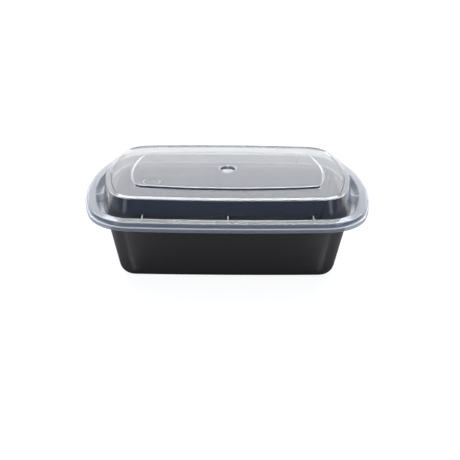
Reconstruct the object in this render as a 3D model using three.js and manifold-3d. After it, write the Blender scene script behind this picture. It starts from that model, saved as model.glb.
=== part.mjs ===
// A takeaway meal container: a black polypropylene tray shut by a clear domed lid, empty.
// Millimetres, +Z up. The origin is the centre of the tray's base, x runs along the long side.
// Both pieces are thin moulded skins, lofted through stations: a plan outline at a height.

import * as THREE from 'three';
import { mergeVertices } from 'three/addons/utils/BufferGeometryUtils.js';
import Module from 'manifold-3d';

const wasm = await Module();
wasm.setup();

// Driving sizes

const TRAY_WALL = 0.8;
const LID_WALL = 0.6;
const FIT_GAP = 0.3;

// A plan outline: half length, half width, corner radius, and how far each side bows out.
const LIP_PLAN = plan(111, 73.25, 35.5, 2.0, 5.65);
const SHOULDER_PLAN = plan(94.65, 57.6, 21.5, 2.5, 6.0);
const PANEL_PLAN = plan(73.8, 37.9, 5.8, 4.85, 6.1);
const TRAY_TOP_PLAN = plan(91.4, 53.45, 17.5, 0.85, 0.1);
const TRAY_LOW_PLAN = plan(84.45, 46.4, 13.7, 0.85, 0.1);

// Heights above the table
const TRAY_TOP_Z = 53.9;
const BASE_ROUND = 7.45;
const LIP_BOTTOM_Z = 53.9;
const LIP_TOP_Z = 57.05;
const RIM_TOP_Z = 59.8;
const RIM_INNER_Z = 60.3;
const CHANNEL_Z = 53.8;
const SHOULDER_Z = 71.75;
const RIDGE_Z = 72.15;
const ROOF_Z = 71.45;
const PANEL_Z = 72.9;

// Distances in from the lip's outline
const LIP_STEP = 1.3;
const RIM_OUTER_INSET = 1.9;
const RIM_INNER_INSET = 8.45;
const CHANNEL_OUTER_INSET = 10.5;
const DOME_FOOT_INSET = 13.6;
const LIP_EDGE_DROP = 0.5;

// The low ridge round the lid's top, measured in from the shoulder, and the steps beside the roof
const RIDGE_WIDTH = 4.0;
const RIDGE_SLOPE = 0.8;
const PANEL_SLOPE = 1.6;

// The tray's rim, just under the lid's
const RIM_SKIRT_Z = 56.5;
const RIM_EDGE_INSET = 3.4;

// How far from each corner of a profile its rounding starts
const EASE = {
  panel: 0.6,
  ridge: 0.35,
  shoulder: 0.6,
  channel: 0.9,
  rimInner: 0.7,
  rimOuter: 0.9,
  trayRim: 0.5,
  trayLedge: 1.2,
  trayShoulder: 2.2,
};
const FLAT_MARGIN = 2;

// Small features of the lid. A rib's top slopes down from the dome to the rim.
const RIB = { thickness: 0.9, pitchLong: 61, pitchShort: 42, rise: 0.6, drop: 0.4 };
const DIMPLE = { topRadius: 6.4, floorRadius: 5.1, depth: 2.0, sides: 40 };
const NUB = { width: 1.3, length: 2.2 };
const MARK = { x: -57, y: -27.5, radius: 6.2, width: 0.7, height: 0.25, sides: 36 };

// Steps along each stretch of an outline, for one quarter of it
const STEPS = { short: 3, corner: 6, long: 2 };
const ROUND_STEPS = 3;

function plan(halfLength, halfWidth, corner, bowLong, bowShort) {
  return { halfLength, halfWidth, corner, bowLong, bowShort };
}

function grown(p, distance) {
  return {
    ...p,
    halfLength: p.halfLength + distance,
    halfWidth: p.halfWidth + distance,
    corner: p.corner + distance,
  };
}

function blended(p, q, t) {
  const mixed = {};
  for (const key of Object.keys(p)) mixed[key] = THREE.MathUtils.lerp(p[key], q[key], t);
  return mixed;
}

// Points on an arc, without its first one.
function arcPoints(centre, radius, from, to, steps) {
  const points = [];
  for (let i = 1; i <= steps; i++) {
    const angle = THREE.MathUtils.lerp(from, to, i / steps);
    points.push([centre[0] + radius * Math.cos(angle), centre[1] + radius * Math.sin(angle)]);
  }
  return points;
}

// The centre of the corner arc, which touches the arcs of both sides from within.
function cornerCentre(longCentre, longReach, shortCentre, shortReach) {
  const across = [shortCentre[0] - longCentre[0], shortCentre[1] - longCentre[1]];
  const apart = Math.hypot(across[0], across[1]);
  const along = (longReach ** 2 - shortReach ** 2 + apart ** 2) / (2 * apart);
  const off = Math.sqrt(Math.max(longReach ** 2 - along ** 2, 0));
  const foot = longCentre.map((c, i) => c + (across[i] / apart) * along);
  const side = [-across[1] / apart, across[0] / apart];
  const choices = [off, -off].map((s) => [foot[0] + side[0] * s, foot[1] + side[1] * s]);
  return choices[0][0] + choices[0][1] > choices[1][0] + choices[1][1] ? choices[0] : choices[1];
}

// The closed outline of a plan, anticlockwise from the middle of the right-hand side.
// Each side is one long arc, and a corner arc joins two sides smoothly.
function outline(p) {
  const longRun = p.halfLength - p.corner;
  const shortRun = p.halfWidth - p.corner;
  const longRadius = longRun ** 2 / (2 * p.bowLong) + p.bowLong / 2;
  const shortRadius = shortRun ** 2 / (2 * p.bowShort) + p.bowShort / 2;
  const longCentre = [0, p.halfWidth - longRadius];
  const shortCentre = [p.halfLength - shortRadius, 0];
  const corner = cornerCentre(longCentre, longRadius - p.corner, shortCentre, shortRadius - p.corner);
  const fromShort = Math.atan2(corner[1] - shortCentre[1], corner[0] - shortCentre[0]);
  const toLong = Math.atan2(corner[1] - longCentre[1], corner[0] - longCentre[0]);

  const quarter = [
    [p.halfLength, 0],
    ...arcPoints(shortCentre, shortRadius, 0, fromShort, STEPS.short),
    ...arcPoints(corner, p.corner, fromShort, toLong, STEPS.corner),
    ...arcPoints(longCentre, longRadius, toLong, Math.PI / 2, STEPS.long),
  ];
  const last = quarter.length - 1;
  const points = [...quarter];
  for (let i = last - 1; i >= 0; i--) points.push([-quarter[i][0], quarter[i][1]]);
  for (let i = 1; i <= last; i++) points.push([-quarter[i][0], -quarter[i][1]]);
  for (let i = last - 1; i >= 1; i--) points.push([quarter[i][0], -quarter[i][1]]);
  return points;
}

// A station of a skin. ease is how far from it, along the profile, its rounding starts.
function station(p, z, ease = 0) {
  return { plan: p, z, ease };
}

function between(s, u, t) {
  return { plan: blended(s.plan, u.plan, t), z: THREE.MathUtils.lerp(s.z, u.z, t) };
}

// Rounds each station that has an ease, with a short curve between its neighbours.
function rounded(stations) {
  const result = [];
  stations.forEach((here, i) => {
    if (!here.ease) {
      result.push({ plan: here.plan, z: here.z });
      return;
    }
    const [before, after] = [stations[i - 1], stations[i + 1]];
    const start = between(here, before, here.ease / reach(here, before));
    const end = between(here, after, here.ease / reach(here, after));
    for (let k = 0; k <= ROUND_STEPS; k++) {
      const t = k / ROUND_STEPS;
      result.push(between(between(start, here, t), between(here, end, t), t));
    }
  });
  return result;
}

function reach(s, u) {
  return Math.hypot(s.plan.halfLength - u.plan.halfLength, s.z - u.z);
}

// The same stations moved sideways by a thickness, to the left of the way they run.
function shifted(stations, thickness) {
  return stations.map((here, i) => {
    const [before, after] = [stations[i - 1] ?? here, stations[i + 1] ?? here];
    const into = direction(before, here) ?? direction(here, after);
    const out = direction(here, after) ?? into;
    const sum = [into[0] + out[0], into[1] + out[1]];
    const scale = thickness / (1 + into[0] * out[0] + into[1] * out[1]);
    return { plan: grown(here.plan, -sum[1] * scale), z: here.z + sum[0] * scale };
  });
}

function direction(s, u) {
  const length = reach(s, u);
  if (length === 0) return null;
  return [(u.plan.halfLength - s.plan.halfLength) / length, (u.z - s.z) / length];
}

// A closed thin shell. Its stations run outwards from the middle, which a point closes.
// A positive thickness goes up from them, and a negative one goes down.
function shell(stations, thickness) {
  const face = rounded(stations);
  const back = shifted(face, thickness);
  const rings = [...face, ...back.reverse()].map((s) => outline(s.plan).map(([x, y]) => [x, y, s.z]));
  const start = [0, 0, rings[0][0][2]];
  const end = [0, 0, rings[rings.length - 1][0][2]];
  const vertices = [start, ...rings.flat(), end];
  const count = rings[0].length;
  const at = (ring, i) => 1 + ring * count + (i % count);
  const triangles = [];
  for (let i = 0; i < count; i++) {
    triangles.push([0, at(0, i + 1), at(0, i)]);
    for (let ring = 0; ring < rings.length - 1; ring++) {
      triangles.push([at(ring, i), at(ring, i + 1), at(ring + 1, i)]);
      triangles.push([at(ring, i + 1), at(ring + 1, i + 1), at(ring + 1, i)]);
    }
    triangles.push([vertices.length - 1, at(rings.length - 1, i), at(rings.length - 1, i + 1)]);
  }
  if (thickness < 0) triangles.forEach((t) => t.reverse());
  const geometry = new THREE.BufferGeometry();
  geometry.setAttribute('position', new THREE.Float32BufferAttribute(vertices.flat(), 3));
  geometry.setIndex(triangles.flat());
  return geometry;
}

// Joining and cutting

function solid(geometry) {
  const bare = geometry.clone();
  bare.deleteAttribute('normal');
  bare.deleteAttribute('uv');
  const merged = mergeVertices(bare, 1e-4);
  return new wasm.Manifold(
    new wasm.Mesh({
      numProp: 3,
      vertProperties: new Float32Array(merged.attributes.position.array),
      triVerts: new Uint32Array(merged.index.array),
    }),
  );
}

function geometryOf(body) {
  const mesh = body.getMesh();
  const geometry = new THREE.BufferGeometry();
  geometry.setAttribute('position', new THREE.BufferAttribute(mesh.vertProperties, 3));
  geometry.setIndex(new THREE.BufferAttribute(mesh.triVerts, 1));
  geometry.computeVertexNormals();
  return geometry;
}

// A turned shape about the z axis, from [radius, z] points that close on themselves or the axis.
function turned(points, sides) {
  const geometry = new THREE.LatheGeometry(points.map(([r, z]) => new THREE.Vector2(r, z)), sides);
  return geometry.rotateX(Math.PI / 2);
}

// The tray

function trayStations() {
  const wallAt = (z) => {
    const t = (z - BASE_ROUND) / (TRAY_TOP_Z - BASE_ROUND);
    return blended(TRAY_LOW_PLAN, TRAY_TOP_PLAN, t);
  };
  // The ledge that the lid's channel rests over, then the upright wall and the rolled rim
  const ledgeZ = CHANNEL_Z - LID_WALL - FIT_GAP - TRAY_WALL;
  const apart = LID_WALL + FIT_GAP + TRAY_WALL;
  const rimZ = RIM_TOP_Z - apart;
  return [
    station(grown(TRAY_LOW_PLAN, -BASE_ROUND - FLAT_MARGIN), 0),
    station(wallAt(0), 0, BASE_ROUND),
    station(wallAt(ledgeZ), ledgeZ, EASE.trayShoulder),
    station(grown(LIP_PLAN, apart - CHANNEL_OUTER_INSET), ledgeZ, EASE.trayLedge),
    station(grown(LIP_PLAN, apart - RIM_INNER_INSET), rimZ, EASE.trayRim),
    station(grown(LIP_PLAN, -RIM_EDGE_INSET - TRAY_WALL), rimZ, EASE.trayRim),
    station(grown(LIP_PLAN, -RIM_EDGE_INSET), RIM_SKIRT_Z),
  ];
}

function makeTray() {
  return shell(trayStations(), TRAY_WALL);
}

// The lid

function lidStations() {
  return [
    station(grown(PANEL_PLAN, -FLAT_MARGIN), PANEL_Z),
    station(PANEL_PLAN, PANEL_Z, EASE.panel),
    station(grown(PANEL_PLAN, PANEL_SLOPE), ROOF_Z, EASE.panel),
    station(grown(SHOULDER_PLAN, -RIDGE_WIDTH - RIDGE_SLOPE), ROOF_Z, EASE.ridge),
    station(grown(SHOULDER_PLAN, -RIDGE_WIDTH), RIDGE_Z, EASE.ridge),
    station(SHOULDER_PLAN, SHOULDER_Z, EASE.shoulder),
    station(grown(LIP_PLAN, -DOME_FOOT_INSET), CHANNEL_Z, EASE.channel),
    station(grown(LIP_PLAN, -CHANNEL_OUTER_INSET), CHANNEL_Z, EASE.channel),
    station(grown(LIP_PLAN, -RIM_INNER_INSET), RIM_INNER_Z, EASE.rimInner),
    station(grown(LIP_PLAN, -RIM_OUTER_INSET), RIM_TOP_Z, EASE.rimOuter),
    station(grown(LIP_PLAN, -LIP_STEP), LIP_TOP_Z),
    station(LIP_PLAN, LIP_TOP_Z - LIP_EDGE_DROP),
    station(LIP_PLAN, LIP_BOTTOM_Z),
  ];
}

// A gusset across the channel, drawn in a plane that runs from the lid's middle outwards.
// reachOut is the distance from the middle to the lip on that side.
function makeRib(reachOut, angle) {
  const halfWall = LID_WALL / 2;
  const bottom = CHANNEL_Z - halfWall;
  const domeTop = RIM_TOP_Z + RIB.rise;
  const wallLean = LIP_PLAN.halfLength - DOME_FOOT_INSET - SHOULDER_PLAN.halfLength;
  const domeLean = (wallLean * (domeTop - CHANNEL_Z)) / (SHOULDER_Z - CHANNEL_Z);
  const profile = new THREE.Shape([
    new THREE.Vector2(reachOut - DOME_FOOT_INSET - domeLean - halfWall, domeTop),
    new THREE.Vector2(reachOut - DOME_FOOT_INSET - halfWall, bottom),
    new THREE.Vector2(reachOut - CHANNEL_OUTER_INSET, bottom),
    new THREE.Vector2(reachOut - RIM_INNER_INSET + halfWall, RIM_TOP_Z - RIB.drop),
  ]);
  const rib = new THREE.ExtrudeGeometry(profile, { depth: RIB.thickness, bevelEnabled: false });
  return rib.translate(0, 0, -RIB.thickness / 2).rotateX(Math.PI / 2).rotateZ(angle);
}

// How far the lip's outline reaches along y at a place on x, or along x at a place on y.
function lipReach(axis, place) {
  const across = 1 - axis;
  const points = outline(LIP_PLAN).filter((point) => point[axis] > 0);
  points.sort((p, q) => p[across] - q[across]);
  const after = points.findIndex((point) => point[across] > place);
  const [p, q] = [points[after - 1], points[after]];
  return THREE.MathUtils.mapLinear(place, p[across], q[across], p[axis], q[axis]);
}

function makeRibs() {
  const ribs = [];
  for (const side of [1, -1]) {
    for (const place of [-RIB.pitchLong, 0, RIB.pitchLong]) {
      const rib = makeRib(lipReach(1, place), (side * Math.PI) / 2);
      ribs.push(rib.translate(place, 0, 0));
    }
    for (const place of [-RIB.pitchShort / 2, RIB.pitchShort / 2]) {
      const rib = makeRib(lipReach(0, place), side > 0 ? 0 : Math.PI);
      ribs.push(rib.translate(0, place, 0));
    }
  }
  return ribs;
}

function makeDimpleCup() {
  const low = PANEL_Z - DIMPLE.depth - LID_WALL;
  return turned(
    [
      [0, low],
      [DIMPLE.floorRadius + LID_WALL, low],
      [DIMPLE.topRadius + LID_WALL, PANEL_Z - LID_WALL / 2],
      [0, PANEL_Z - LID_WALL / 2],
    ],
    DIMPLE.sides,
  );
}

function makeDimpleHollow() {
  const above = 0.5;
  const low = PANEL_Z - DIMPLE.depth;
  const flare = ((DIMPLE.topRadius - DIMPLE.floorRadius) * above) / DIMPLE.depth;
  return turned(
    [
      [0, low],
      [DIMPLE.floorRadius, low],
      [DIMPLE.topRadius + flare, PANEL_Z + above],
      [0, PANEL_Z + above],
    ],
    DIMPLE.sides,
  );
}

// The small upright nub on the dimple's far wall
function makeNub() {
  const height = DIMPLE.depth + LID_WALL / 2;
  const nub = new THREE.BoxGeometry(NUB.width, NUB.length, height);
  return nub.translate(0, DIMPLE.topRadius - NUB.length / 2 + LID_WALL / 2, PANEL_Z - height / 2);
}

// A plain raised ring near the panel's front left corner
function makeMark() {
  const [inner, outer] = [MARK.radius - MARK.width / 2, MARK.radius + MARK.width / 2];
  const ring = turned(
    [
      [inner, -LID_WALL / 2],
      [outer, -LID_WALL / 2],
      [outer, MARK.height],
      [inner, MARK.height],
      [inner, -LID_WALL / 2],
    ],
    MARK.sides,
  );
  return ring.translate(MARK.x, MARK.y, PANEL_Z);
}

function makeLid() {
  let lid = solid(shell(lidStations(), -LID_WALL));
  for (const rib of makeRibs()) lid = lid.add(solid(rib));
  lid = lid.add(solid(makeDimpleCup())).subtract(solid(makeDimpleHollow()));
  lid = lid.add(solid(makeNub())).add(solid(makeMark()));
  return geometryOf(lid);
}

// The object

const blackPlastic = new THREE.MeshStandardMaterial({ color: 0x1c1b1c, roughness: 0.42, metalness: 0 });
const clearPlastic = new THREE.MeshStandardMaterial({
  color: 0xdfe6ea,
  roughness: 0.12,
  metalness: 0,
  transparent: true,
  opacity: 0.35,
});

const container = new THREE.Group();
const tray = new THREE.Mesh(makeTray(), blackPlastic);
tray.name = 'tray';
const lid = new THREE.Mesh(makeLid(), clearPlastic);
lid.name = 'lid';
container.add(tray, lid);

export default container;
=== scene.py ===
"""The looks of a takeaway meal container: a black moulded tray under a clear domed lid.

Sizes are in millimetres, as in the part's source, and turn into metres when a mesh is made.
Both pieces are thin skins, lofted through stations: an outline at a height.
"""

import logging
import math
from collections.abc import Sequence
from dataclasses import dataclass, field, replace
from enum import IntEnum
from typing import Any, Protocol

import bpy
import numpy as np
from mathutils import Matrix, Vector


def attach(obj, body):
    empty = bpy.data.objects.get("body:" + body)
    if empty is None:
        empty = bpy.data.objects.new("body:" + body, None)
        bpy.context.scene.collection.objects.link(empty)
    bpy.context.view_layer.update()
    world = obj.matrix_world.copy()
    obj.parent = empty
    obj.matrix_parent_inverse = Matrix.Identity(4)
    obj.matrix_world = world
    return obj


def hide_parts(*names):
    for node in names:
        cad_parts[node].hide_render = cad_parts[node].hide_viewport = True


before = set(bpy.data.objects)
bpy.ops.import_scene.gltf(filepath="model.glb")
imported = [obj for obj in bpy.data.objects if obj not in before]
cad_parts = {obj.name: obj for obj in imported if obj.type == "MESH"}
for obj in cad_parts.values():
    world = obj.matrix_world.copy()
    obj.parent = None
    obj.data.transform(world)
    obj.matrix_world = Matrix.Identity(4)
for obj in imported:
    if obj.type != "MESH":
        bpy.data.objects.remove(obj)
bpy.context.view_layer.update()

log = logging.getLogger("container")

MM = 0.001
BODY = "root"


def linear(code: str) -> tuple[float, float, float, float]:
    """Turns an sRGB hex colour into Blender's linear colour.

    Args:
        code: The colour, as "#rrggbb".

    Returns:
        The linear red, green, blue and an alpha of 1.
    """
    parts = [int(code[i : i + 2], 16) / 255 for i in (1, 3, 5)]
    red, green, blue = (
        c / 12.92 if c <= 0.04045 else ((c + 0.055) / 1.055) ** 2.4 for c in parts
    )
    return red, green, blue, 1.0


# Outlines


@dataclass(frozen=True)
class Steps:
    """How many steps each stretch of an outline has, for one quarter of it."""

    short: int = 12
    corner: int = 22
    long: int = 18


STEPS = Steps()


class Outline(Protocol):
    """A closed outline that a skin passes through."""

    @property
    def reach(self) -> float:
        """Its distance from the middle along x."""

    def grown(self, distance: float) -> "Outline":
        """The same outline, moved outwards all round."""

    def blended(self, other: Any, share: float) -> "Outline":
        """An outline part of the way to another of its kind."""

    def points(self) -> np.ndarray:
        """Its points, anticlockwise from the middle of the right-hand side."""


@dataclass(frozen=True)
class Plan:
    """A rounded rectangle whose sides bow out as long arcs."""

    half_length: float
    half_width: float
    corner: float
    bow_long: float
    bow_short: float

    @property
    def reach(self) -> float:
        """Its distance from the middle along x."""
        return self.half_length

    def grown(self, distance: float) -> "Plan":
        """The same plan, moved outwards all round."""
        return replace(
            self,
            half_length=self.half_length + distance,
            half_width=self.half_width + distance,
            corner=self.corner + distance,
        )

    def blended(self, other: "Plan", share: float) -> "Plan":
        """A plan part of the way to another one."""
        pairs = zip(vars(self).values(), vars(other).values())
        return Plan(*(a + (b - a) * share for a, b in pairs))

    def points(self) -> np.ndarray:
        """Finds the outline's points.

        Returns:
            The points as rows of x and y, anticlockwise from the middle of the right-hand side.
        """
        long_radius = arc_radius(self.half_length - self.corner, self.bow_long)
        short_radius = arc_radius(self.half_width - self.corner, self.bow_short)
        long_centre = np.array([0.0, self.half_width - long_radius])
        short_centre = np.array([self.half_length - short_radius, 0.0])
        corner = meeting_point(
            long_centre, long_radius - self.corner, short_centre, short_radius - self.corner
        )
        from_short = math.atan2(*(corner - short_centre)[::-1])
        to_long = math.atan2(*(corner - long_centre)[::-1])
        quarter = np.vstack(
            [
                [[self.half_length, 0.0]],
                arc(short_centre, short_radius, 0.0, from_short, STEPS.short),
                arc(corner, self.corner, from_short, to_long, STEPS.corner),
                arc(long_centre, long_radius, to_long, math.pi / 2, STEPS.long),
            ]
        )
        left = quarter[-2::-1] * (-1, 1)
        return np.vstack([quarter, left, quarter[1:] * (-1, -1), quarter[-2:0:-1] * (1, -1)])


@dataclass(frozen=True)
class Disc:
    """A circle whose points lie in the same directions as a plan's."""

    radius: float
    directions: Plan

    @property
    def reach(self) -> float:
        """Its radius."""
        return self.radius

    def grown(self, distance: float) -> "Disc":
        """A larger circle."""
        return replace(self, radius=self.radius + distance)

    def blended(self, other: "Disc", share: float) -> "Disc":
        """A circle part of the way to another one."""
        return replace(self, radius=self.radius + (other.radius - self.radius) * share)

    def points(self) -> np.ndarray:
        """The circle's points."""
        rays = self.directions.points()
        return rays / np.linalg.norm(rays, axis=1, keepdims=True) * self.radius


def arc_radius(half_chord: float, rise: float) -> float:
    """The radius of an arc with this half chord and rise."""
    return half_chord**2 / (2 * rise) + rise / 2


def arc(centre: np.ndarray, radius: float, start: float, end: float, steps: int) -> np.ndarray:
    """Points on an arc, without its first one.

    Args:
        centre: The arc's centre.
        radius: Its radius.
        start: The angle where it starts, in radians.
        end: The angle where it ends.
        steps: How many points to give.

    Returns:
        The points as rows of x and y.
    """
    angles = np.linspace(start, end, steps + 1)[1:]
    return centre + radius * np.column_stack([np.cos(angles), np.sin(angles)])


def meeting_point(a: np.ndarray, reach_a: float, b: np.ndarray, reach_b: float) -> np.ndarray:
    """Finds the point at set distances from two others, on the side away from the middle.

    Args:
        a: The first point.
        reach_a: The distance from it.
        b: The second point.
        reach_b: The distance from that one.

    Returns:
        The point.
    """
    across = b - a
    apart = np.linalg.norm(across)
    along = (reach_a**2 - reach_b**2 + apart**2) / (2 * apart)
    off = math.sqrt(max(reach_a**2 - along**2, 0.0))
    foot = a + across / apart * along
    side = np.array([-across[1], across[0]]) / apart
    return max((foot + side * off, foot - side * off), key=lambda point: point.sum())


def reach_at(outline: np.ndarray, axis: int, place: float) -> float:
    """How far an outline reaches along one axis at a place on the other.

    Args:
        outline: Its points.
        axis: The axis to measure along, 0 or 1.
        place: The place on the other axis.

    Returns:
        The distance from the middle.
    """
    ahead = outline[outline[:, axis] > 0]
    ahead = ahead[np.argsort(ahead[:, 1 - axis])]
    return float(np.interp(place, ahead[:, 1 - axis], ahead[:, axis]))


def radius_towards(outline: np.ndarray, points: np.ndarray) -> np.ndarray:
    """How far an outline is from the middle in the directions of some points.

    Args:
        outline: The outline's points.
        points: The other points, as rows of x and y.

    Returns:
        A distance for each of the points.
    """
    around = np.arctan2(outline[:, 1], outline[:, 0])
    order = np.argsort(around)
    towards = np.arctan2(points[:, 1], points[:, 0])
    radii = np.linalg.norm(outline, axis=1)
    return np.interp(towards, around[order], radii[order], period=2 * math.pi)


# Skins


@dataclass(frozen=True)
class Station:
    """An outline at a height. ease is how far from it, along the profile, its rounding starts."""

    outline: Outline
    z: float
    ease: float = 0.0


@dataclass(frozen=True)
class Skin:
    """A thin closed shell through stations that run outwards from the middle.

    A positive thickness goes up from them, and a negative one goes down. round_steps is the
    number of steps in each rounding, and guard how far outside it, in millimetres, a further
    ring stands, so that the rounding's shading ends there.
    """

    stations: Sequence[Station]
    thickness: float
    round_steps: int = 6
    guard: float = 0.12

    def mesh(self, name: str) -> bpy.types.Mesh:
        """Lofts the shell.

        Args:
            name: The mesh's name.

        Returns:
            The mesh, in metres, with its faces pointing outwards.
        """
        profile = self.rounded()
        closed = [*profile, *reversed(self.shifted(profile))]
        rings = [ring_points(station) for station in closed]
        count = len(rings[0])
        poles = [(0.0, 0.0, rings[0][0][2]), (0.0, 0.0, rings[-1][0][2])]
        vertices = np.vstack([poles[:1], *rings, poles[1:]]) * MM
        last = len(vertices) - 1
        faces: list[tuple[int, ...]] = []
        for i in range(count):
            j = (i + 1) % count
            faces.append((0, 1 + j, 1 + i))
            for ring in range(len(rings) - 1):
                low = 1 + ring * count
                faces.append((low + i, low + j, low + count + j, low + count + i))
            low = last - count
            faces.append((last, low + i, low + j))
        if self.thickness < 0:
            faces = [face[::-1] for face in faces]
        made = bpy.data.meshes.new(name)
        made.from_pydata(vertices.tolist(), [], faces)
        made.validate()
        return made

    def rounded(self) -> list[Station]:
        """Rounds each station that has an ease, with a short curve between its neighbours.

        Returns:
            The stations of the rounded profile.
        """
        result: list[Station] = []
        for i, here in enumerate(self.stations):
            if not here.ease:
                result.append(here)
                continue
            before, after = self.stations[i - 1], self.stations[i + 1]
            shares = [here.ease / distance(here, side) for side in (before, after)]
            guards = [self.guard / distance(here, side) for side in (before, after)]
            start, end = between(here, before, shares[0]), between(here, after, shares[1])
            result.append(between(here, before, shares[0] + guards[0]))
            for k in range(self.round_steps + 1):
                t = k / self.round_steps
                result.append(between(between(start, here, t), between(here, end, t), t))
            result.append(between(here, after, shares[1] + guards[1]))
        return result

    def shifted(self, profile: Sequence[Station]) -> list[Station]:
        """Moves a profile sideways by the thickness, to the left of the way it runs.

        Args:
            profile: The profile's stations.

        Returns:
            The moved stations.
        """
        result = []
        for i, here in enumerate(profile):
            into = heading(profile[i - 1], here) if i else heading(here, profile[1])
            out = heading(here, profile[i + 1]) if i + 1 < len(profile) else into
            total = into + out
            scale = self.thickness / (1 + float(into @ out))
            result.append(Station(here.outline.grown(-total[1] * scale), here.z + total[0] * scale))
        return result


def distance(a: Station, b: Station) -> float:
    """How far apart two stations are along the profile."""
    return math.hypot(a.outline.reach - b.outline.reach, a.z - b.z)


def heading(a: Station, b: Station) -> np.ndarray:
    """The direction from one station to the next, outwards and upwards."""
    return np.array([b.outline.reach - a.outline.reach, b.z - a.z]) / distance(a, b)


def between(a: Station, b: Station, share: float) -> Station:
    """A station part of the way to another one."""
    return Station(a.outline.blended(b.outline, share), a.z + (b.z - a.z) * share)


def ring_points(station: Station) -> np.ndarray:
    """The points of a station's outline at its height."""
    flat = station.outline.points()
    return np.column_stack([flat, np.full(len(flat), station.z)])


# Shared sizes of the tray and the lid, which fit each other

TRAY_WALL = 0.8
LID_WALL = 0.6
FIT_GAP = 0.3
LIP = Plan(111, 73.25, 35.5, 2.0, 5.65)
RIM_TOP_Z = 59.8
CHANNEL_Z = 53.8
RIM_INNER_INSET = 8.45
CHANNEL_OUTER_INSET = 10.5
FLAT_MARGIN = 2.0


# Node trees


def add_node(
    tree: bpy.types.NodeTree,
    kind: str,
    settings: dict[str, Any] | None = None,
    inputs: dict[str | int, Any] | None = None,
) -> bpy.types.Node:
    """Adds a node to a tree.

    Args:
        tree: The tree.
        kind: The node's type name.
        settings: Values of the node's own properties.
        inputs: A value for each input socket, or the output socket that it is linked to.

    Returns:
        The node.
    """
    node = tree.nodes.new(kind)
    for name, value in (settings or {}).items():
        setattr(node, name, value)
    for key, value in (inputs or {}).items():
        socket = node.inputs[key]
        if isinstance(value, bpy.types.NodeSocket):
            tree.links.new(value, socket)
        else:
            socket.default_value = value
    return node


def new_material(name: str) -> tuple[bpy.types.Material, bpy.types.NodeTree]:
    """Makes an empty node material.

    Args:
        name: Its name.

    Returns:
        The material and its node tree.
    """
    made = bpy.data.materials.new(name)
    made.use_nodes = True
    made.node_tree.nodes.clear()
    return made, made.node_tree


@dataclass(frozen=True)
class BlackPolypropylene:
    """Moulded polypropylene, filled with carbon black.

    The mould is finely sparked, so the skin has a close grain and a soft, wide sheen that turns
    bright only at a grazing angle. Thicker and thinner flow leaves faint duller clouds, which
    cloud_range spreads over the noise's usual values.
    """

    colour: str = "#2f2a27"
    roughness: tuple[float, float] = (0.34, 0.42)
    ior: float = 1.49
    specular: float = 0.6
    grain_mm: float = 0.5
    grain_depth_mm: float = 0.012
    cloud_mm: float = 22.0
    cloud_range: tuple[float, float] = (0.3, 0.7)

    def material(self) -> bpy.types.Material:
        """Builds the finish.

        Returns:
            Its material.
        """
        made, tree = new_material("black_polypropylene_moulded")
        place = add_node(tree, "ShaderNodeTexCoord").outputs["Object"]
        clouds = add_node(
            tree,
            "ShaderNodeTexNoise",
            {"noise_dimensions": "3D"},
            {"Vector": place, "Scale": 1 / (self.cloud_mm * MM), "Detail": 3.0, "Roughness": 0.55},
        )
        roughness = add_node(
            tree,
            "ShaderNodeMapRange",
            {},
            {
                "Value": clouds.outputs["Fac"],
                "From Min": self.cloud_range[0],
                "From Max": self.cloud_range[1],
                "To Min": self.roughness[0],
                "To Max": self.roughness[1],
            },
        )
        grain = add_node(
            tree,
            "ShaderNodeTexNoise",
            {"noise_dimensions": "3D"},
            {"Vector": place, "Scale": 1 / (self.grain_mm * MM), "Detail": 2.0, "Roughness": 0.5},
        )
        bump = add_node(
            tree,
            "ShaderNodeBump",
            {},
            {
                "Height": grain.outputs["Fac"],
                "Distance": self.grain_depth_mm * MM,
                "Strength": 1.0,
            },
        )
        shader = add_node(
            tree,
            "ShaderNodeBsdfPrincipled",
            {},
            {
                "Base Color": linear(self.colour),
                "Roughness": roughness.outputs["Result"],
                "IOR": self.ior,
                "Specular IOR Level": self.specular,
                "Normal": bump.outputs["Normal"],
            },
        )
        add_node(tree, "ShaderNodeOutputMaterial", {}, {"Surface": shader.outputs["BSDF"]})
        return made


@dataclass(frozen=True)
class ClearPolypropylene:
    """Clarified polypropylene, moulded against a polished tool.

    It is glossy and clear, and the skin waves a little where the plastic shrank, so that
    reflections in it aren't quite straight. Its fine crystals throw a trace of blue light back,
    which a thin sheen stands for, and let warmer light through.
    """

    name: str = "clear_polypropylene_polished"
    colour: str = "#f5f3ea"
    transmission: float = 0.985
    roughness: float = 0.04
    ior: float = 1.49
    haze: float = 0.07
    haze_colour: str = "#7da8ff"
    haze_spread: float = 0.8
    wave_mm: float = 16.0
    wave_depth_mm: float = 0.01

    def material(self) -> bpy.types.Material:
        """Builds the finish.

        Returns:
            Its material.
        """
        made, tree = new_material(self.name)
        place = add_node(tree, "ShaderNodeTexCoord").outputs["Object"]
        waves = add_node(
            tree,
            "ShaderNodeTexNoise",
            {"noise_dimensions": "3D"},
            {"Vector": place, "Scale": 1 / (self.wave_mm * MM), "Detail": 1.0, "Roughness": 0.4},
        )
        bump = add_node(
            tree,
            "ShaderNodeBump",
            {},
            {"Height": waves.outputs["Fac"], "Distance": self.wave_depth_mm * MM, "Strength": 1.0},
        )
        shader = add_node(
            tree,
            "ShaderNodeBsdfPrincipled",
            {},
            {
                "Base Color": linear(self.colour),
                "Roughness": self.roughness,
                "IOR": self.ior,
                "Transmission Weight": self.transmission,
                "Sheen Weight": self.haze,
                "Sheen Roughness": self.haze_spread,
                "Sheen Tint": linear(self.haze_colour),
                "Normal": bump.outputs["Normal"],
            },
        )
        add_node(tree, "ShaderNodeOutputMaterial", {}, {"Surface": shader.outputs["BSDF"]})
        return made


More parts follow.
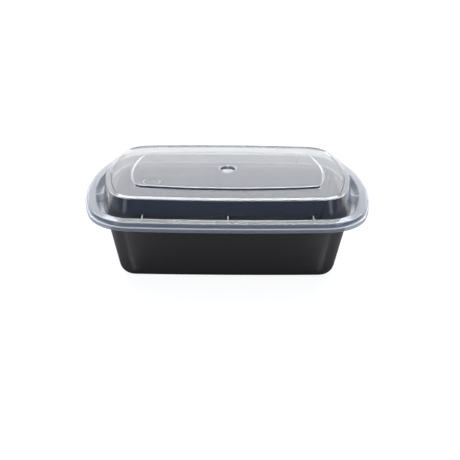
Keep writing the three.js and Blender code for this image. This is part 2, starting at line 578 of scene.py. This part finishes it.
@dataclass(frozen=True)
class MattFloor:
    """A plain pale table top, painted matt.

    The photograph is exposed so long that the table burns out to white. So the camera sees it
    lifted by a glow, while the container sees and mirrors the pale grey that it is.
    """

    colour: str = "#a8a9aa"
    seen_colour: str = "#707070"
    glow: float = 0.92
    roughness: float = 0.9
    specular: float = 0.1

    def material(self) -> bpy.types.Material:
        """Builds the finish.

        Returns:
            Its material.
        """
        made, tree = new_material("matt_painted_floor")
        paint = {"Roughness": self.roughness, "Specular IOR Level": self.specular}
        real = add_node(
            tree, "ShaderNodeBsdfPrincipled", {}, {"Base Color": linear(self.colour), **paint}
        )
        seen = add_node(
            tree,
            "ShaderNodeBsdfPrincipled",
            {},
            {
                "Base Color": linear(self.seen_colour),
                "Emission Color": (1.0, 1.0, 1.0, 1.0),
                "Emission Strength": self.glow,
                **paint,
            },
        )
        shown = add_node(tree, "ShaderNodeLightPath").outputs["Is Camera Ray"]
        sides = {0: shown, 1: real.outputs["BSDF"], 2: seen.outputs["BSDF"]}
        mixed = add_node(tree, "ShaderNodeMixShader", {}, sides)
        add_node(tree, "ShaderNodeOutputMaterial", {}, {"Surface": mixed.outputs[0]})
        return made


# Pieces


def add_object(name: str, mesh: bpy.types.Mesh) -> bpy.types.Object:
    """Puts a mesh in the scene as an object at the origin.

    Args:
        name: The object's name.
        mesh: Its mesh.

    Returns:
        The object.
    """
    made = bpy.data.objects.new(name, mesh)
    bpy.context.scene.collection.objects.link(made)
    return made


def shade(mesh: bpy.types.Mesh, sharp_degrees: float = 35.0) -> None:
    """Shades a mesh smooth, apart from its sharper edges."""
    mesh.shade_smooth()
    mesh.set_sharp_from_angle(angle=math.radians(sharp_degrees))


def baked(made: bpy.types.Object) -> bpy.types.Mesh:
    """Turns an object with its modifiers into a plain mesh, and takes the modifiers off.

    Args:
        made: The object, which gets the new mesh.

    Returns:
        The mesh.
    """
    evaluated = made.evaluated_get(bpy.context.evaluated_depsgraph_get())
    mesh = bpy.data.meshes.new_from_object(evaluated)
    made.modifiers.clear()
    made.data = mesh
    return mesh


def fuse(body: bpy.types.Object, other: bpy.types.Object) -> None:
    """Fuses a solid to a body, and removes the solid. Its faces keep their own material.

    Args:
        body: The body, whose mesh changes.
        other: The closed solid.
    """
    modifier = body.modifiers.new("join", "BOOLEAN")
    modifier.operation = "UNION"
    modifier.solver = "MANIFOLD"
    modifier.material_mode = "TRANSFER"
    modifier.object = other
    bpy.context.view_layer.update()
    baked(body)
    bpy.data.objects.remove(other)


def turned_ring(
    name: str,
    section: Sequence[tuple[float, float]],
    centre: tuple[float, float, float],
    sides: int,
) -> bpy.types.Object:
    """Turns a closed section about an upright axis into a closed ring.

    Args:
        name: The object's name.
        section: Points of distance from the axis and height, anticlockwise.
        centre: The axis's place and the height that the section's zero has.
        sides: How many sides the ring has.

    Returns:
        The ring's object.
    """
    count = len(section)
    vertices = []
    for k in range(sides):
        angle = 2 * math.pi * k / sides
        for radius, height in section:
            x = centre[0] + radius * math.cos(angle)
            y = centre[1] + radius * math.sin(angle)
            vertices.append((x * MM, y * MM, (centre[2] + height) * MM))
    faces = []
    for k in range(sides):
        low, high = k * count, (k + 1) % sides * count
        for i in range(count):
            j = (i + 1) % count
            faces.append((low + i, high + i, high + j, low + j))
    mesh = bpy.data.meshes.new(name)
    mesh.from_pydata(vertices, [], faces)
    return add_object(name, mesh)


@dataclass
class Tray:
    """The black tray: a tapered tub whose rim sits just under the lid's.

    top and low are its wall's plans, at top_z and where the base's rounding starts. An ease is
    how far from an edge its rounding starts.
    """

    top: Plan = Plan(91.4, 53.45, 17.5, 0.85, 0.1)
    low: Plan = Plan(84.45, 46.4, 13.7, 0.85, 0.1)
    top_z: float = 53.9
    base_round: float = 7.45
    rim_edge_inset: float = 3.4
    rim_skirt_z: float = 56.5
    shoulder_ease: float = 2.2
    ledge_ease: float = 1.2
    rim_ease: float = 0.5
    finish: BlackPolypropylene = field(default_factory=BlackPolypropylene)

    def wall_at(self, z: float) -> Plan:
        """The wall's plan at a height."""
        share = (z - self.base_round) / (self.top_z - self.base_round)
        return self.low.blended(self.top, share)

    def stations(self) -> list[Station]:
        """Lists the stations of its under side.

        Returns:
            The stations, from the base to the rim's outer edge.
        """
        apart = LID_WALL + FIT_GAP + TRAY_WALL
        ledge_z = CHANNEL_Z - apart
        rim_z = RIM_TOP_Z - apart
        return [
            Station(self.low.grown(-self.base_round - FLAT_MARGIN), 0),
            Station(self.wall_at(0), 0, self.base_round),
            Station(self.wall_at(ledge_z), ledge_z, self.shoulder_ease),
            Station(LIP.grown(apart - CHANNEL_OUTER_INSET), ledge_z, self.ledge_ease),
            Station(LIP.grown(apart - RIM_INNER_INSET), rim_z, self.rim_ease),
            Station(LIP.grown(-self.rim_edge_inset - TRAY_WALL), rim_z, self.rim_ease),
            Station(LIP.grown(-self.rim_edge_inset), self.rim_skirt_z),
        ]

    def build(self) -> bpy.types.Object:
        """Builds and dresses the tray.

        Returns:
            Its object, riding on the body in place of the CAD node.
        """
        mesh = Skin(self.stations(), TRAY_WALL).mesh("tray_skin")
        shade(mesh)
        made = add_object("tray_moulded", mesh)
        mesh.materials.append(self.finish.material())
        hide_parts("tray")
        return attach(made, BODY)


@dataclass
class Ribs:
    """Small gussets across the lid's channel, from the dome's foot to the rim.

    The pitches are the distances between them along the long and the short sides. A rib rises
    above the rim's level at the dome and drops below it at the rim.
    """

    thickness: float = 0.9
    pitch_long: float = 61.0
    pitch_short: float = 42.0
    rise: float = 0.6
    drop: float = 0.4

    def solid(self, dome_foot_inset: float, dome_lean: float) -> bpy.types.Object:
        """Makes one rib, a unit thick, with the lip's outline at its origin.

        Args:
            dome_foot_inset: The distance from the lip to the dome's foot.
            dome_lean: How far the dome's wall leans in, for each millimetre of its height.

        Returns:
            The rib's object, which runs inwards along minus x.
        """
        half_wall = LID_WALL / 2
        bottom = CHANNEL_Z - half_wall
        top = RIM_TOP_Z + self.rise
        lean = dome_lean * (top - CHANNEL_Z)
        profile = [
            (-dome_foot_inset - lean - half_wall, top),
            (-dome_foot_inset - half_wall, bottom),
            (-CHANNEL_OUTER_INSET, bottom),
            (-RIM_INNER_INSET + half_wall, RIM_TOP_Z - self.drop),
        ]
        vertices = [(x * MM, side * MM / 2, z * MM) for side in (-1, 1) for x, z in profile]
        faces = [(0, 1, 2, 3), (7, 6, 5, 4)]
        faces += [(4 + i, 4 + (i + 1) % 4, (i + 1) % 4, i) for i in range(4)]
        mesh = bpy.data.meshes.new("rib")
        mesh.from_pydata(vertices, [], faces)
        return add_object("rib", mesh)

    def places(self) -> list[tuple[float, float, float]]:
        """Finds where the ribs stand on the lip's outline.

        Returns:
            The x and y of each place, in millimetres, and the rib's heading in radians.
        """
        outline = LIP.points()
        found = []
        for side in (1, -1):
            for x in (-self.pitch_long, 0.0, self.pitch_long):
                found.append((x, side * reach_at(outline, 1, x), side * math.pi / 2))
            for y in (-self.pitch_short / 2, self.pitch_short / 2):
                found.append((side * reach_at(outline, 0, y), y, 0.0 if side > 0 else math.pi))
        return found

    def tree(self) -> bpy.types.NodeTree:
        """Builds the node tree that puts a rib on every point, turned by the point's heading.

        Returns:
            The tree, whose inputs are the places, one rib, its thickness and its plastic.
        """
        tree = bpy.data.node_groups.new("ribs_across_channel", "GeometryNodeTree")
        for name, kind in (
            ("Places", "NodeSocketGeometry"),
            ("Rib", "NodeSocketObject"),
            ("Thickness", "NodeSocketFloat"),
            ("Plastic", "NodeSocketMaterial"),
        ):
            tree.interface.new_socket(name, in_out="INPUT", socket_type=kind)
        tree.interface.new_socket("Ribs", in_out="OUTPUT", socket_type="NodeSocketGeometry")
        given = add_node(tree, "NodeGroupInput").outputs
        shape = add_node(tree, "GeometryNodeObjectInfo", {}, {"Object": given["Rib"]})
        scale = add_node(
            tree, "ShaderNodeCombineXYZ", {}, {"X": 1.0, "Y": given["Thickness"], "Z": 1.0}
        )
        sized = add_node(
            tree,
            "GeometryNodeTransform",
            {},
            {"Geometry": shape.outputs["Geometry"], "Scale": scale.outputs["Vector"]},
        )
        named = {"data_type": "FLOAT"}
        turn = add_node(tree, "GeometryNodeInputNamedAttribute", named, {"Name": "heading"})
        rotation = add_node(tree, "ShaderNodeCombineXYZ", {}, {"Z": turn.outputs["Attribute"]})
        copies = add_node(
            tree,
            "GeometryNodeInstanceOnPoints",
            {},
            {
                "Points": given["Places"],
                "Instance": sized.outputs["Geometry"],
                "Rotation": rotation.outputs["Vector"],
            },
        )
        real = add_node(
            tree, "GeometryNodeRealizeInstances", {}, {"Geometry": copies.outputs["Instances"]}
        )
        dressed = add_node(
            tree,
            "GeometryNodeSetMaterial",
            {},
            {"Geometry": real.outputs["Geometry"], "Material": given["Plastic"]},
        )
        add_node(tree, "NodeGroupOutput", {}, {"Ribs": dressed.outputs["Geometry"]})
        return tree

    def build(self, rib: bpy.types.Object, plastic: bpy.types.Material) -> bpy.types.Object:
        """Puts the ribs round the channel.

        Args:
            rib: One rib, which is removed afterwards.
            plastic: The material they are made of.

        Returns:
            All the ribs as one object.
        """
        places = self.places()
        points = bpy.data.meshes.new("rib_places")
        points.from_pydata([(x * MM, y * MM, 0.0) for x, y, _ in places], [], [])
        heading_of = points.attributes.new("heading", "FLOAT", "POINT")
        heading_of.data.foreach_set("value", [turn for _, _, turn in places])
        made = add_object("ribs", points)
        tree = self.tree()
        modifier = made.modifiers.new("ribs", "NODES")
        modifier.node_group = tree
        values = {"Rib": rib, "Thickness": self.thickness, "Plastic": plastic}
        for item in tree.interface.items_tree:
            if item.item_type == "SOCKET" and item.in_out == "INPUT" and item.name in values:
                modifier[item.identifier] = values[item.name]
        bpy.context.view_layer.update()
        baked(made)
        bpy.data.objects.remove(rib)
        return made


class LidFinish(IntEnum):
    """How a part of the lid's surface looks, in the order of its material slots."""

    POLISHED = 0
    PAINTED_REFLECTION = 1
    BLUSHED = 2
    PALE_PAINTED_LIGHT = 3


@dataclass
class Lid:
    """The clear lid: a dome whose top has a low ridge round it and a raised panel in it.

    Round the dome run a channel, a rim and a lip that hangs down. An inset is measured inwards
    from the lip, and an ease is how far from an edge its rounding starts. dimple_blush says how
    far the pale ring on the dimple's edge reaches, inwards and outwards. nub is the nub's width
    and length.
    """

    shoulder: Plan = Plan(94.65, 57.6, 21.5, 2.5, 6.0)
    panel: Plan = Plan(73.8, 37.9, 5.8, 4.85, 6.1)
    lip_bottom_z: float = 53.9
    lip_top_z: float = 57.05
    shoulder_z: float = 71.75
    ridge_z: float = 72.15
    roof_z: float = 71.45
    panel_z: float = 72.9
    lip_step: float = 1.3
    rim_inner_z: float = 60.3
    rim_outer_inset: float = 1.9
    dome_foot_inset: float = 13.6
    lip_edge_drop: float = 0.5
    ridge_width: float = 4.0
    ridge_slope: float = 0.8
    panel_slope: float = 1.6
    panel_ease: float = 0.88
    ridge_ease: float = 0.38
    shoulder_ease: float = 0.6
    channel_ease: float = 0.9
    rim_inner_ease: float = 0.7
    rim_outer_ease: float = 0.9
    lip_ease: float = 0.12
    dimple_top: float = 6.4
    dimple_floor: float = 5.1
    dimple_depth: float = 2.0
    dimple_ease: float = 0.45
    dimple_blush: tuple[float, float] = (-0.35, 0.5)
    nub: tuple[float, float] = (1.3, 2.2)
    mark_place: tuple[float, float] = (-57.0, -27.5)
    mark_radius: float = 6.2
    mark_width: float = 0.7
    mark_height: float = 0.25
    mark_sides: int = 72
    ribs: Ribs = field(default_factory=Ribs)
    dome_finish: ClearPolypropylene = ClearPolypropylene()
    # The rim and lip get a paler copy of the plastic that scatters more: they are paler than the
    # dome and blur what shows through. Their paleness is painted reflection, in place of the soft
    # reflection of the lights above that veils them.
    rim_finish: ClearPolypropylene = ClearPolypropylene(
        name="clear_polypropylene_painted_reflection",
        colour="#d4d7d9",
        transmission=0.79,
        roughness=0.08,
        haze=0.04,
    )
    # The channel, the step on the lip, the ribs and the raised ring get a still paler copy of the
    # plastic. In the channel and on the lip's step its paleness is painted light, in place of the
    # reflection and the highlight that they catch.
    channel_finish: ClearPolypropylene = ClearPolypropylene(
        name="clear_polypropylene_pale_painted_light",
        colour="#edeeed",
        transmission=0.58,
        roughness=0.15,
        haze=0.05,
    )
    # Where it was pressed hardest it blushes, like breath on glass.
    press_finish: ClearPolypropylene = ClearPolypropylene(
        name="clear_polypropylene_blushed",
        colour="#e4e4e3",
        transmission=0.52,
        roughness=0.25,
        haze=0.04,
    )

    def stations(self) -> list[Station]:
        """Lists the stations of its upper side.

        Returns:
            The stations, from the middle of the dimple to the lip's lower edge.
        """

        def disc(radius: float) -> Disc:
            """A circle round the middle of the panel."""
            return Disc(radius, self.panel)

        dimple_z = self.panel_z - self.dimple_depth
        return [
            Station(disc(self.dimple_floor - FLAT_MARGIN), dimple_z),
            Station(disc(self.dimple_floor), dimple_z, self.dimple_ease),
            Station(disc(self.dimple_top), self.panel_z, self.dimple_ease),
            Station(disc(self.dimple_top + FLAT_MARGIN), self.panel_z),
            Station(self.panel.grown(-FLAT_MARGIN), self.panel_z),
            Station(self.panel, self.panel_z, self.panel_ease),
            Station(self.panel.grown(self.panel_slope), self.roof_z, self.panel_ease),
            Station(
                self.shoulder.grown(-self.ridge_width - self.ridge_slope),
                self.roof_z,
                self.ridge_ease,
            ),
            Station(self.shoulder.grown(-self.ridge_width), self.ridge_z, self.ridge_ease),
            Station(self.shoulder, self.shoulder_z, self.shoulder_ease),
            Station(LIP.grown(-self.dome_foot_inset), CHANNEL_Z, self.channel_ease),
            Station(LIP.grown(-CHANNEL_OUTER_INSET), CHANNEL_Z, self.channel_ease),
            Station(LIP.grown(-RIM_INNER_INSET), self.rim_inner_z, self.rim_inner_ease),
            Station(LIP.grown(-self.rim_outer_inset), RIM_TOP_Z, self.rim_outer_ease),
            Station(LIP.grown(-self.lip_step), self.lip_top_z, self.lip_ease),
            Station(LIP, self.lip_top_z - self.lip_edge_drop, self.lip_ease),
            Station(LIP, self.lip_bottom_z),
        ]

    def mark(self) -> bpy.types.Object:
        """Makes the plain raised ring near the panel's front left corner.

        It reaches a little way into the panel, so that the two can fuse.

        Returns:
            The ring's object.
        """
        half = self.mark_width / 2
        inner, outer = self.mark_radius - half, self.mark_radius + half
        section = [
            (inner, -half),
            (outer, -half),
            (outer, self.mark_height * 0.5),
            (outer - half / 2, self.mark_height),
            (inner + half / 2, self.mark_height),
            (inner, self.mark_height * 0.5),
        ]
        return turned_ring("mark", section, (*self.mark_place, self.panel_z), self.mark_sides)

    def nub_solid(self) -> bpy.types.Object:
        """Makes the small upright nub on the dimple's far wall.

        Returns:
            The nub's object.
        """
        width, length = self.nub
        height = self.dimple_depth + LID_WALL / 2
        middle = self.dimple_top - length / 2 + LID_WALL / 2
        corners = [
            (x * width / 2, middle + y * length / 2, self.panel_z - (1 - z) * height)
            for z in (0, 1)
            for x, y in ((-1, -1), (1, -1), (1, 1), (-1, 1))
        ]
        faces = [(3, 2, 1, 0), (4, 5, 6, 7)]
        faces += [(i, (i + 1) % 4, 4 + (i + 1) % 4, 4 + i) for i in range(4)]
        mesh = bpy.data.meshes.new("nub")
        mesh.from_pydata([[c * MM for c in corner] for corner in corners], [], faces)
        return add_object("nub", mesh)

    def pick_finishes(self, mesh: bpy.types.Mesh) -> None:
        """Picks a finish for each face of the skin.

        The dome is polished. The rim and its skirt get a paler finish, whose paleness is painted
        reflection. The dimple's floor and a narrow ring round it, where the plastic was pressed
        hardest, are blushed. The channel round the dome and the step on the lip get the palest
        finish, whose paleness there is painted light.

        Args:
            mesh: The skin's mesh, whose material slots are in the order of LidFinish.
        """
        centres = np.empty(len(mesh.polygons) * 3)
        mesh.polygons.foreach_get("center", centres)
        centres = centres.reshape(-1, 3) / MM
        foot = LIP.grown(-self.dome_foot_inset).points()
        rim = LIP.grown(-RIM_INNER_INSET).points()
        lip = LIP.grown(-self.lip_step + self.lip_ease).points()
        away = np.linalg.norm(centres[:, :2], axis=1)
        outside = away > radius_towards(foot, centres[:, :2])
        # The channel and the lip's step: their pale finish is painted light.
        pale_painted_light = outside & (away < radius_towards(rim, centres[:, :2]))
        step_z = self.lip_top_z - self.lip_edge_drop - self.lip_ease
        pale_painted_light |= (away > radius_towards(lip, centres[:, :2])) & (centres[:, 2] > step_z)
        low, high = (self.dimple_top + edge for edge in self.dimple_blush)
        pressed = (away < self.dimple_floor - self.dimple_ease) | ((low < away) & (away < high))
        picked = np.full(len(away), LidFinish.POLISHED, dtype=np.int32)
        # The rim, its skirt and the lip: their paler finish is painted reflection.
        picked[outside] = LidFinish.PAINTED_REFLECTION
        picked[pressed] = LidFinish.BLUSHED
        picked[pale_painted_light] = LidFinish.PALE_PAINTED_LIGHT
        mesh.polygons.foreach_set("material_index", picked)

    def build(self) -> bpy.types.Object:
        """Builds and dresses the lid.

        Returns:
            Its object, riding on the body in place of the CAD node.
        """
        finishes = {
            LidFinish.POLISHED: self.dome_finish,
            LidFinish.PAINTED_REFLECTION: self.rim_finish,
            LidFinish.BLUSHED: self.press_finish,
            LidFinish.PALE_PAINTED_LIGHT: self.channel_finish,
        }
        made = add_object("lid_clear", Skin(self.stations(), -LID_WALL).mesh("lid_skin"))
        for place in LidFinish:
            made.data.materials.append(finishes[place].material())
        self.pick_finishes(made.data)
        foot = LIP.half_length - self.dome_foot_inset
        lean = (foot - self.shoulder.half_length) / (self.shoulder_z - CHANNEL_Z)
        rib = self.ribs.solid(self.dome_foot_inset, lean)
        nub, mark = self.nub_solid(), self.mark()
        # The ribs and the raised ring take the channel's pale finish, which in the channel is
        # painted light.
        pale_painted_light = made.data.materials[LidFinish.PALE_PAINTED_LIGHT]
        nub.data.materials.append(made.data.materials[LidFinish.BLUSHED])
        mark.data.materials.append(pale_painted_light)
        for small in (self.ribs.build(rib, pale_painted_light), nub, mark):
            fuse(made, small)
        shade(made.data)
        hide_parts("lid")
        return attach(made, BODY)


# The studio


@dataclass(frozen=True)
class Softbox:
    """A flat soft light that faces the object.

    Its azimuth runs clockwise from the front, seen from above. Angles are in degrees, and its
    distance and sides in metres. Its radiance is what a mirror in front of it would show, with
    1 as white. One that isn't mirrored only washes matt surfaces, as a light does that a studio
    flags off from glossy goods.
    """

    name: str
    azimuth: float
    elevation: float
    distance: float
    width: float
    height: float
    radiance: float
    colour: str = "#ffffff"
    mirrored: bool = True

    def build(self, target: Vector) -> bpy.types.Object:
        """Hangs the light.

        Args:
            target: The point that it faces.

        Returns:
            The light's object.
        """
        turn, rise = math.radians(self.azimuth), math.radians(self.elevation)
        away = Vector(
            (
                -math.sin(turn) * math.cos(rise),
                -math.cos(turn) * math.cos(rise),
                math.sin(rise),
            )
        )
        light = bpy.data.lights.new(self.name, "AREA")
        light.shape = "RECTANGLE"
        light.size, light.size_y = self.width, self.height
        light.energy = self.radiance * math.pi * self.width * self.height
        light.color = linear(self.colour)[:3]
        made = bpy.data.objects.new(self.name, light)
        made.location = target + away * self.distance
        made.rotation_mode = "QUATERNION"
        made.rotation_quaternion = (-away).to_track_quat("-Z", "Y")
        made.visible_camera = False
        made.visible_glossy = made.visible_transmission = self.mirrored
        bpy.context.scene.collection.objects.link(made)
        return made


@dataclass(frozen=True)
class GlowingWedge:
    """A slim wedge of light on the table, which points at a front corner of the tray.

    Only glossy surfaces see it, so it puts a soft upright streak on that corner and lights
    nothing else. Its sizes are in millimetres, and its azimuth and spread in degrees.
    """

    name: str
    tip: tuple[float, float]
    azimuth: float
    length: float = 75.0
    spread: float = 10.0
    radiance: float = 3.0
    rise: float = 0.5

    def build(self) -> bpy.types.Object:
        """Lays the wedge on the table.

        Returns:
            Its object.
        """
        corners = [(*self.tip, self.rise)]
        for side in (-0.5, 0.5):
            turn = math.radians(self.azimuth + side * self.spread)
            x = self.tip[0] - math.sin(turn) * self.length
            y = self.tip[1] - math.cos(turn) * self.length
            corners.append((x, y, self.rise))
        mesh = bpy.data.meshes.new(self.name)
        mesh.from_pydata([[c * MM for c in corner] for corner in corners], [], [(0, 1, 2)])
        made, tree = new_material("glowing_film")
        glow = add_node(tree, "ShaderNodeEmission", {}, {"Strength": self.radiance})
        add_node(tree, "ShaderNodeOutputMaterial", {}, {"Surface": glow.outputs["Emission"]})
        mesh.materials.append(made)
        wedge = add_object(self.name, mesh)
        wedge.visible_camera = wedge.visible_diffuse = wedge.visible_transmission = False
        wedge.visible_shadow = False
        return wedge


@dataclass(frozen=True)
class Studio:
    """The pale floor, the soft lights round it and the room's dim fill.

    Sizes are in metres. The floor ends a little in front of the container, so that the front of
    the lid mirrors the dark room beyond it, as it does in the photograph.
    """

    floor_side: float = 24.0
    floor_front: float = 0.26
    fill: str = "#7e8cab"
    fill_strength: float = 1.0
    aim: tuple[float, float, float] = (0.0, 0.0, 0.05)
    # Each light's name, azimuth, elevation, distance, width, height, radiance and colour.
    lights: tuple[Softbox, ...] = (
        Softbox("back_low_left", 146, 7, 2.2, 1.5, 0.5, 1.8),
        Softbox("back_low_right", 214, 7, 2.2, 1.5, 0.5, 1.8),
        Softbox("back_wall", 180, 23, 2.0, 5.0, 0.8, 1.6, "#fffcf4"),
        Softbox("back_key", 180, 41, 1.7, 3.2, 0.42, 6.1, "#f4f7fc"),
        Softbox("back_top", 180, 62, 1.7, 2.4, 0.8, 3.0),
        Softbox("strip_left", 42, 12, 1.6, 0.38, 1.3, 1.0),
        Softbox("strip_right", -42, 12, 1.6, 0.38, 1.3, 1.0),
        Softbox("wash_top", 0, 88, 1.8, 1.6, 1.6, 1.8, mirrored=False),
        Softbox("wash_front", 0, 25, 1.8, 1.4, 1.0, 1.4, mirrored=False),
    )
    # Each wedge's name, tip and azimuth.
    wedges: tuple[GlowingWedge, ...] = (
        GlowingWedge("wedge_left", (-71.0, -49.0), 31.5),
        GlowingWedge("wedge_right", (71.0, -49.0), -31.5),
    )
    finish: MattFloor = MattFloor()

    def build(self) -> None:
        """Lays the floor, hangs the lights and sets the room's fill."""
        half = self.floor_side / 2
        mesh = bpy.data.meshes.new("floor")
        front = -self.floor_front
        corners = [(-half, front, 0), (half, front, 0), (half, half, 0), (-half, half, 0)]
        mesh.from_pydata(corners, [], [(0, 1, 2, 3)])
        mesh.materials.append(self.finish.material())
        floor = add_object("floor", mesh)
        for light in self.lights:
            light.build(Vector(self.aim))
        for wedge in self.wedges:
            wedge.build()
        self.room()

    def room(self) -> None:
        """Fills the room with a dim cool light, behind a backdrop that the camera sees as white."""
        world = bpy.data.worlds.new("room")
        world.use_nodes = True
        tree = world.node_tree
        tree.nodes.clear()
        dim = add_node(
            tree,
            "ShaderNodeBackground",
            {},
            {"Color": linear(self.fill), "Strength": self.fill_strength},
        )
        white = add_node(tree, "ShaderNodeBackground", {}, {"Color": (1.0, 1.0, 1.0, 1.0)})
        seen = add_node(tree, "ShaderNodeLightPath").outputs["Is Camera Ray"]
        sides = {0: seen, 1: dim.outputs[0], 2: white.outputs[0]}
        mixed = add_node(tree, "ShaderNodeMixShader", {}, sides)
        add_node(tree, "ShaderNodeOutputWorld", {}, {"Surface": mixed.outputs[0]})
        bpy.context.scene.world = world


@dataclass(frozen=True)
class PhotoCamera:
    """The photograph's camera, found by fitting the container's edges to it.

    The offset moves the aim away from the middle of the container's base, to the right and
    upwards in the picture. It and the distance are in millimetres, and the clipping in metres.
    """

    frame_px: float = 460.0
    focal_px: float = 621.5
    distance: float = 522.58
    elevation: float = 27.51
    roll: float = -0.74
    yaw: float = 0.76
    offset: tuple[float, float] = (-2.33, -16.38)
    sensor: float = 36.0
    clip: tuple[float, float] = (0.01, 100.0)

    def build(self) -> bpy.types.Object:
        """Sets up the camera.

        Returns:
            Its object, which is also made the scene's camera.
        """
        rise = math.radians(self.elevation)
        right = Vector((1.0, 0.0, 0.0))
        up = Vector((0.0, math.sin(rise), math.cos(rise)))
        forward = Vector((0.0, math.cos(rise), -math.sin(rise)))
        place = -self.offset[0] * right - self.offset[1] * up - self.distance * forward
        lean = math.radians(self.roll)
        across = math.cos(lean) * right - math.sin(lean) * up
        upright = math.sin(lean) * right + math.cos(lean) * up
        axes = Matrix((across, upright, -forward)).transposed().to_4x4()
        turn = Matrix.Rotation(math.radians(-self.yaw), 4, "Z")
        data = bpy.data.cameras.new("photo_camera")
        data.sensor_width = self.sensor
        data.lens = self.sensor * self.focal_px / self.frame_px
        data.clip_start, data.clip_end = self.clip
        made = bpy.data.objects.new("photo_camera", data)
        made.matrix_world = turn @ Matrix.Translation(place * MM) @ axes
        bpy.context.scene.collection.objects.link(made)
        bpy.context.scene.camera = made
        return made


def main() -> None:
    """Builds the pieces in order, then the studio and the camera."""
    logging.basicConfig(level=logging.INFO, format="%(name)s: %(message)s")
    for piece in (Tray(), Lid()):
        made = piece.build()
        log.info("%s has %d faces", made.name, len(made.data.polygons))
    Studio().build()
    PhotoCamera().build()
    bpy.context.scene.view_settings.view_transform = "Standard"


if __name__ == "__main__":
    main()
